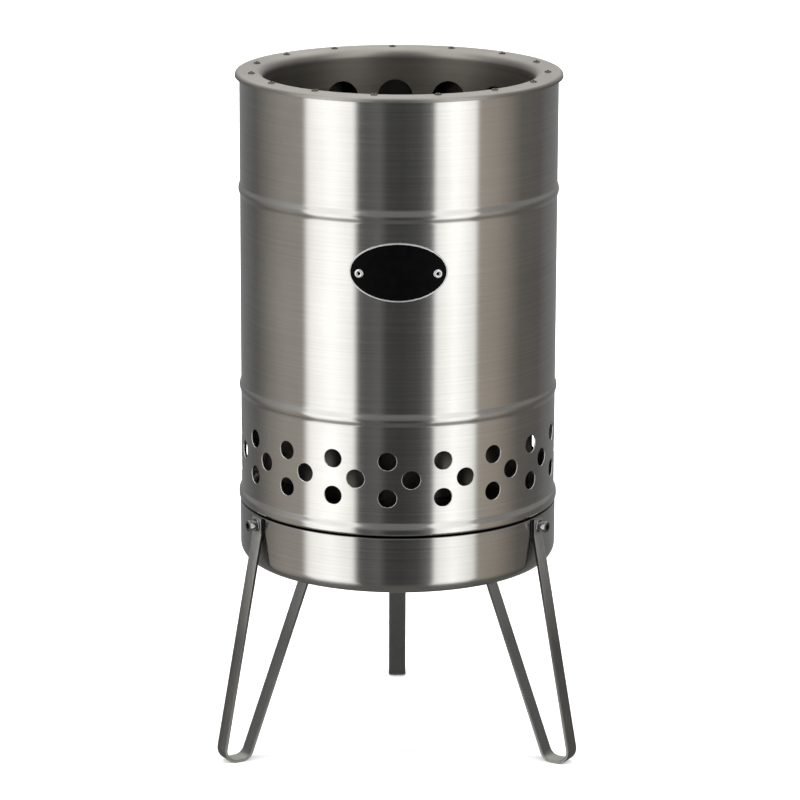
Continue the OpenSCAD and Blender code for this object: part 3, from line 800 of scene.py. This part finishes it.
# Light round the barrel as (turn from its front, brightness, warmth): two softboxes, each with a
# hot middle, a dark room between them and grey walls at the sides and the back. The first is what
# the upright walls mirror, a little below the horizon, the second what the rim mirrors.
LIGHT_BELOW = [
    (-90, 0.35, 0.16), (-73, 0.36, 0.16), (-68.5, 1.4, 0), (-49, 1.8, 0), (-33, 1.42, 0), (-29, 0.13, 0),
    (-23, 0.11, 0), (-14, 0.15, 0), (-8, 0.05, 0), (3, 0.04, 0), (15, 0.07, 0), (22, 0.18, 0),
    (24.5, 0.24, 0), (27.5, 1.3, 0), (41, 1.8, 0), (57, 1.3, 0), (60, 0.42, 0.2), (75, 0.36, 0.25),
    (99, 0.14, 0.15), (122, 0.12, 0.1), (137, 0.18, 0), (180, 0.28, -0.04), (225, 0.15, 0),
    (234, 0.13, 0.05), (245, 0.2, 0.12), (262, 0.32, 0.16), (270, 0.35, 0.16),
]
LIGHT_ABOVE = [
    (-90, 0.42, 0), (-73, 0.52, 0), (-68.5, 1.4, 0), (-33, 1.4, 0), (-29, 0.24, 0), (0, 0.2, 0),
    (24.5, 0.24, 0), (27.5, 1.4, 0), (57, 1.3, 0), (60, 0.35, 0), (80, 0.26, 0), (120, 0.24, 0),
    (150, 0.38, 0), (180, 0.72, 0.05), (210, 0.38, 0), (242, 0.24, 0), (270, 0.42, 0),
]
FLOOR_LIGHT, CEILING_LIGHT = (0.14, 0.14, 0.135), (1.25, 1.24, 1.2)
CEILING_LEAN = (0, 0.42, 0.91)


def light_dial(tree, dial, lights):
    """A colour ramp round the full turn, from -90 degrees to 270."""
    ramp = tree.nodes.new("ShaderNodeValToRGB")
    tree.links.new(dial, ramp.inputs["Fac"])
    stops = ramp.color_ramp.elements
    while len(stops) < len(lights):
        stops.new(0.5)
    for stop, (turn, light, warmth) in zip(stops, lights):
        stop.position = (turn + 90) / 360
        stop.color = (light * (1 + warmth / 2), light, light * (1 - warmth / 2), 1)
    return ramp.outputs["Color"]


def change_with_height(tree, height, start, end, below, above):
    """Goes softly from one light to another between two heights of the direction."""
    step = tree.nodes.new("ShaderNodeMapRange")
    step.interpolation_type = "SMOOTHSTEP"
    step.inputs["From Min"].default_value, step.inputs["From Max"].default_value = start, end
    tree.links.new(height, step.inputs["Value"])
    mix = tree.nodes.new("ShaderNodeMix")
    mix.data_type = "RGBA"
    tree.links.new(step.outputs["Result"], mix.inputs["Factor"])
    for source, socket in ((below, "A"), (above, "B")):
        if isinstance(source, tuple):
            mix.inputs[socket].default_value = (*source, 1)
        else:
            tree.links.new(source, mix.inputs[socket])
    return mix.outputs["Result"]


def light_studio(tree):
    """A studio that depends on the direction alone: upright lights, a soft ceiling and a pale floor."""
    place = tree.nodes.new("ShaderNodeTexCoord")
    dial = tree.nodes.new("ShaderNodeTexGradient")
    dial.gradient_type = "RADIAL"
    split = tree.nodes.new("ShaderNodeSeparateXYZ")
    tree.links.new(place.outputs["Generated"], dial.inputs["Vector"])
    tree.links.new(place.outputs["Generated"], split.inputs["Vector"])
    height = split.outputs["Z"]
    below = light_dial(tree, dial.outputs["Fac"], LIGHT_BELOW)
    above = light_dial(tree, dial.outputs["Fac"], LIGHT_ABOVE)
    walls = change_with_height(tree, height, -0.75, -0.5, FLOOR_LIGHT, below)
    walls = change_with_height(tree, height, -0.08, 0.12, walls, above)
    # The soft ceiling leans to the back
    lean = tree.nodes.new("ShaderNodeVectorMath")
    lean.operation = "DOT_PRODUCT"
    lean.inputs[1].default_value = CEILING_LEAN
    tree.links.new(place.outputs["Generated"], lean.inputs[0])
    everything = change_with_height(tree, lean.outputs["Value"], 0.6, 0.9, walls, CEILING_LIGHT)
    tree.links.new(everything, tree.nodes["Background"].inputs["Color"])


world = bpy.data.worlds.new("studio")
world.use_nodes = True
light_studio(world.node_tree)
bpy.context.scene.world = world


def glowing(name, strength):
    material = bpy.data.materials.new(name)
    material.use_nodes = True
    tree = material.node_tree
    tree.nodes.remove(tree.nodes["Principled BSDF"])
    glow = tree.nodes.new("ShaderNodeEmission")
    glow.inputs["Strength"].default_value = strength
    tree.links.new(glow.outputs["Emission"], tree.nodes["Material Output"].inputs["Surface"])
    material.cycles.emission_sampling = "NONE"
    return material


deselect()
bpy.ops.mesh.primitive_plane_add(size=24)
floor = bpy.context.object
floor.name = "floor"
floor_paint = new_material("pale_floor", base_color=(0.9, 0.9, 0.9, 1), roughness=0.9)
floor.data.materials.append(floor_paint)
floor.visible_glossy = False
bpy.ops.mesh.primitive_uv_sphere_add(radius=11, segments=64, ring_count=32)
backdrop = bpy.context.object
backdrop.name = "backdrop"
backdrop.data.materials.append(glowing("white_backdrop", 1.05))
for ray in ("diffuse", "glossy", "transmission", "shadow"):
    setattr(backdrop, "visible_" + ray, False)


def add_sun(name, energy, angle, elevation, turn):
    """A soft sun that lights the floor from an elevation and a turn and shows in no mirror."""
    data = bpy.data.lights.new(name, "SUN")
    data.energy, data.angle = energy, math.radians(angle)
    lamp = bpy.data.objects.new(name, data)
    lamp.rotation_euler = (math.radians(90 - elevation), 0, math.radians(turn))
    lamp.visible_glossy = False
    bpy.context.scene.collection.objects.link(lamp)


add_sun("overhead_light", 2.4, 120, 90, 0)
add_sun("left_light", 5, 22, 13, -80)
add_sun("right_light", 5, 22, 13, 80)
